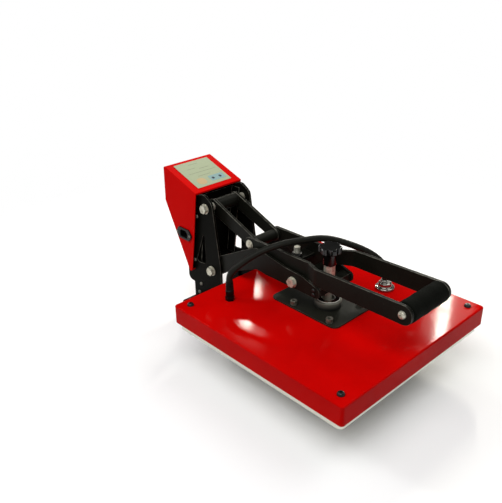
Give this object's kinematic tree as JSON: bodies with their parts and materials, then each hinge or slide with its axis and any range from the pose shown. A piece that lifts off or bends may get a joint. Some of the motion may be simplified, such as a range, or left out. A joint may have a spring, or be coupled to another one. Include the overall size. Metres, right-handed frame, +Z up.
{
  "type": "flat heat press",
  "caption": "Closed clamshell flat heat press: red 40 cm upper platen cover, black toggle linkage with jogged handle bars and foam grip, red control box, compact tube base.",
  "frame": {"origin": "on the bench plane, under the middle of the press's overall box", "axes": "+Y towards the control box at the back, so -Y is the operator's side; +Z up; +X to the operator's right"},
  "size_m": [0.4, 0.612, 0.3145],
  "materials": {
    "red_paint_gloss": "gloss",
    "red_paint": "semi_gloss",
    "black_powder_coat": "satin",
    "zinc_steel": "satin",
    "chrome": "polished",
    "black_steel": "satin",
    "cast_aluminium": "satin",
    "brass": "satin",
    "silicone_pad": "matte",
    "black_rubber": "matte",
    "black_foam": "matte",
    "black_plastic": "satin",
    "panel_film": "satin",
    "circuit_board": "satin",
    "glass_wool": "matte"
  },
  "bodies": {
    "frame": {"arm_pivot_bolt": "zinc_steel", "base_cross_members": "black_powder_coat", "base_rail_left": "black_powder_coat", "base_rail_right": "black_powder_coat", "box_spacers": "black_powder_coat", "column_back_panel": "black_powder_coat", "column_bolts": "zinc_steel", "column_brackets": "black_powder_coat", "column_plate_left": "black_powder_coat", "column_plate_right": "black_powder_coat", "control_box": "red_paint", "control_panel": "panel_film", "controller_board": "circuit_board", "inlet_socket": "black_plastic", "link_pivot_bolt": "zinc_steel", "lower_platen": "cast_aluminium", "pivot_spacers": "zinc_steel", "platen_supports": "black_powder_coat", "rubber_feet": "black_rubber", "silicone_pad": "silicone_pad"},
    "arm": {"arm_pivot_tube": "black_powder_coat", "arm_plate_left": "black_powder_coat", "arm_plate_right": "black_powder_coat", "handle_pivot_bolt": "zinc_steel", "handle_pivot_spacers": "zinc_steel", "lock_nut": "zinc_steel", "nose_block": "black_powder_coat", "threaded_bush": "brass"},
    "platen": {"boss_ring": "chrome", "cable_gland": "black_plastic", "conduit_fitting": "chrome", "cover": "red_paint_gloss", "cover_posts": "zinc_steel", "cover_screws": "black_steel", "heater_conduit": "black_rubber", "heating_element": "cast_aluminium", "heating_plate": "cast_aluminium", "insulation_blanket": "glass_wool", "mounting_plate": "black_powder_coat", "mounting_screws": "zinc_steel", "swivel_boss": "black_powder_coat", "temperature_sensor": "brass"},
    "spindle": {"pressure_knob": "black_plastic", "spindle": "zinc_steel"},
    "handle": {"foam_grip": "black_foam", "grip_bolts": "zinc_steel", "grip_tube": "black_powder_coat", "handle_bar_left": "black_powder_coat", "handle_bar_right": "black_powder_coat", "handle_bridge": "black_powder_coat", "handle_pivot_tube": "black_powder_coat", "stop_stud": "zinc_steel", "toggle_bolts": "zinc_steel"},
    "link": {"link_pivot_tube": "black_powder_coat", "link_plate_left": "black_powder_coat", "link_plate_right": "black_powder_coat", "toggle_tube": "black_powder_coat"}
  },
  "joints": [
    {"name": "arm_lift", "type": "hinge", "parent": "frame", "child": "arm", "pos_m": [0, 0.1708, 0.118], "axis": [-1, 0, 0], "range_deg": [0, 20]},
    {"name": "handle_fold", "type": "hinge", "parent": "arm", "child": "handle", "pos_m": [0, -0.052, 0.177], "axis": [-1, 0, 0], "range_deg": [0, 28.73]},
    {"name": "link_swing", "type": "hinge", "parent": "frame", "child": "link", "pos_m": [0, 0.1828, 0.252], "axis": [1, 0, 0], "range_deg": [0, 15.5]},
    {"name": "pressure_adjust", "type": "slide", "parent": "arm", "child": "platen", "axis": [0, 0, 1], "range_m": [0, 0.005]},
    {"name": "spindle_turn", "type": "hinge", "parent": "platen", "child": "spindle", "pos_m": [0, -0.097, 0.15], "axis": [0, 0, 1], "range_deg": [0, 1028.6]}
  ],
  "couplings": [
    {"joint": "handle_fold", "follows": "arm_lift", "ratio": 1.4362},
    {"joint": "link_swing", "follows": "arm_lift", "ratio": 0.7746},
    {"joint": "spindle_turn", "follows": "pressure_adjust", "rad_per_m": 3590.4}
  ]
}
